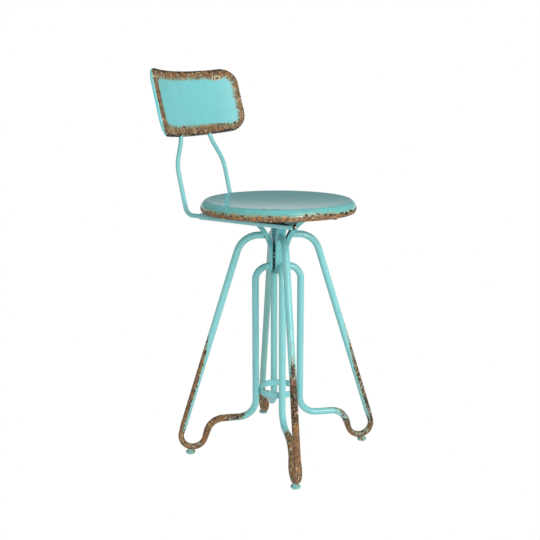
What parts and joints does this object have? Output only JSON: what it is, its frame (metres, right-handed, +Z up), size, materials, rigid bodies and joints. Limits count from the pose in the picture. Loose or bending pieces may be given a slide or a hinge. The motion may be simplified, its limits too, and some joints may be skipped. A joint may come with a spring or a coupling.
{
  "type": "bar stool",
  "caption": "Bar stool with a round pressed-steel seat on looped tube legs, and a curved back panel on bent rods that slide in sleeves under the seat.",
  "frame": {"origin": "on the floor, under the middle of the stool's box", "axes": "+Z up; the sitter faces -Y and has +X on the left"},
  "size_m": [0.4, 0.5232, 1.0135],
  "materials": {
    "seat_paint": "glossy worn turquoise paint",
    "frame_paint": "satin turquoise paint",
    "weld_paint": "painted weld",
    "leg_paint": "turquoise paint worn to rust at the feet",
    "glide_paint": "chipped turquoise paint over rust",
    "rod_paint": "satin turquoise paint",
    "panel_paint": "turquoise paint worn to rust round its border",
    "bolt_steel": "bare steel"
  },
  "bodies": {
    "frame": {"base_ring": "frame_paint", "bolt_washer_left": "bolt_steel", "bolt_washer_right": "bolt_steel", "draw_bolt_left": "bolt_steel", "draw_bolt_right": "bolt_steel", "glide_front_left": "glide_paint", "glide_front_right": "glide_paint", "glide_rear_left": "glide_paint", "glide_rear_right": "glide_paint", "hub_arm_front_left": "frame_paint", "hub_arm_front_right": "frame_paint", "hub_arm_rear_left": "frame_paint", "hub_arm_rear_right": "frame_paint", "hub_welds": "weld_paint", "leg_front_left": "leg_paint", "leg_front_right": "leg_paint", "leg_rear_left": "leg_paint", "leg_rear_right": "leg_paint", "seat_base": "frame_paint", "seat_pan": "seat_paint", "sleeve_left": "frame_paint", "sleeve_plug_left": "frame_paint", "sleeve_plug_right": "frame_paint", "sleeve_right": "frame_paint"},
    "backrest": {"upright_left": "rod_paint", "upright_right": "rod_paint", "backrest_panel": "panel_paint"}
  },
  "joints": [
    {"name": "backrest_slide", "type": "slide", "parent": "frame", "child": "backrest", "axis": [0, 1, 0], "range_m": [-0.024, 0.05]}
  ]
}
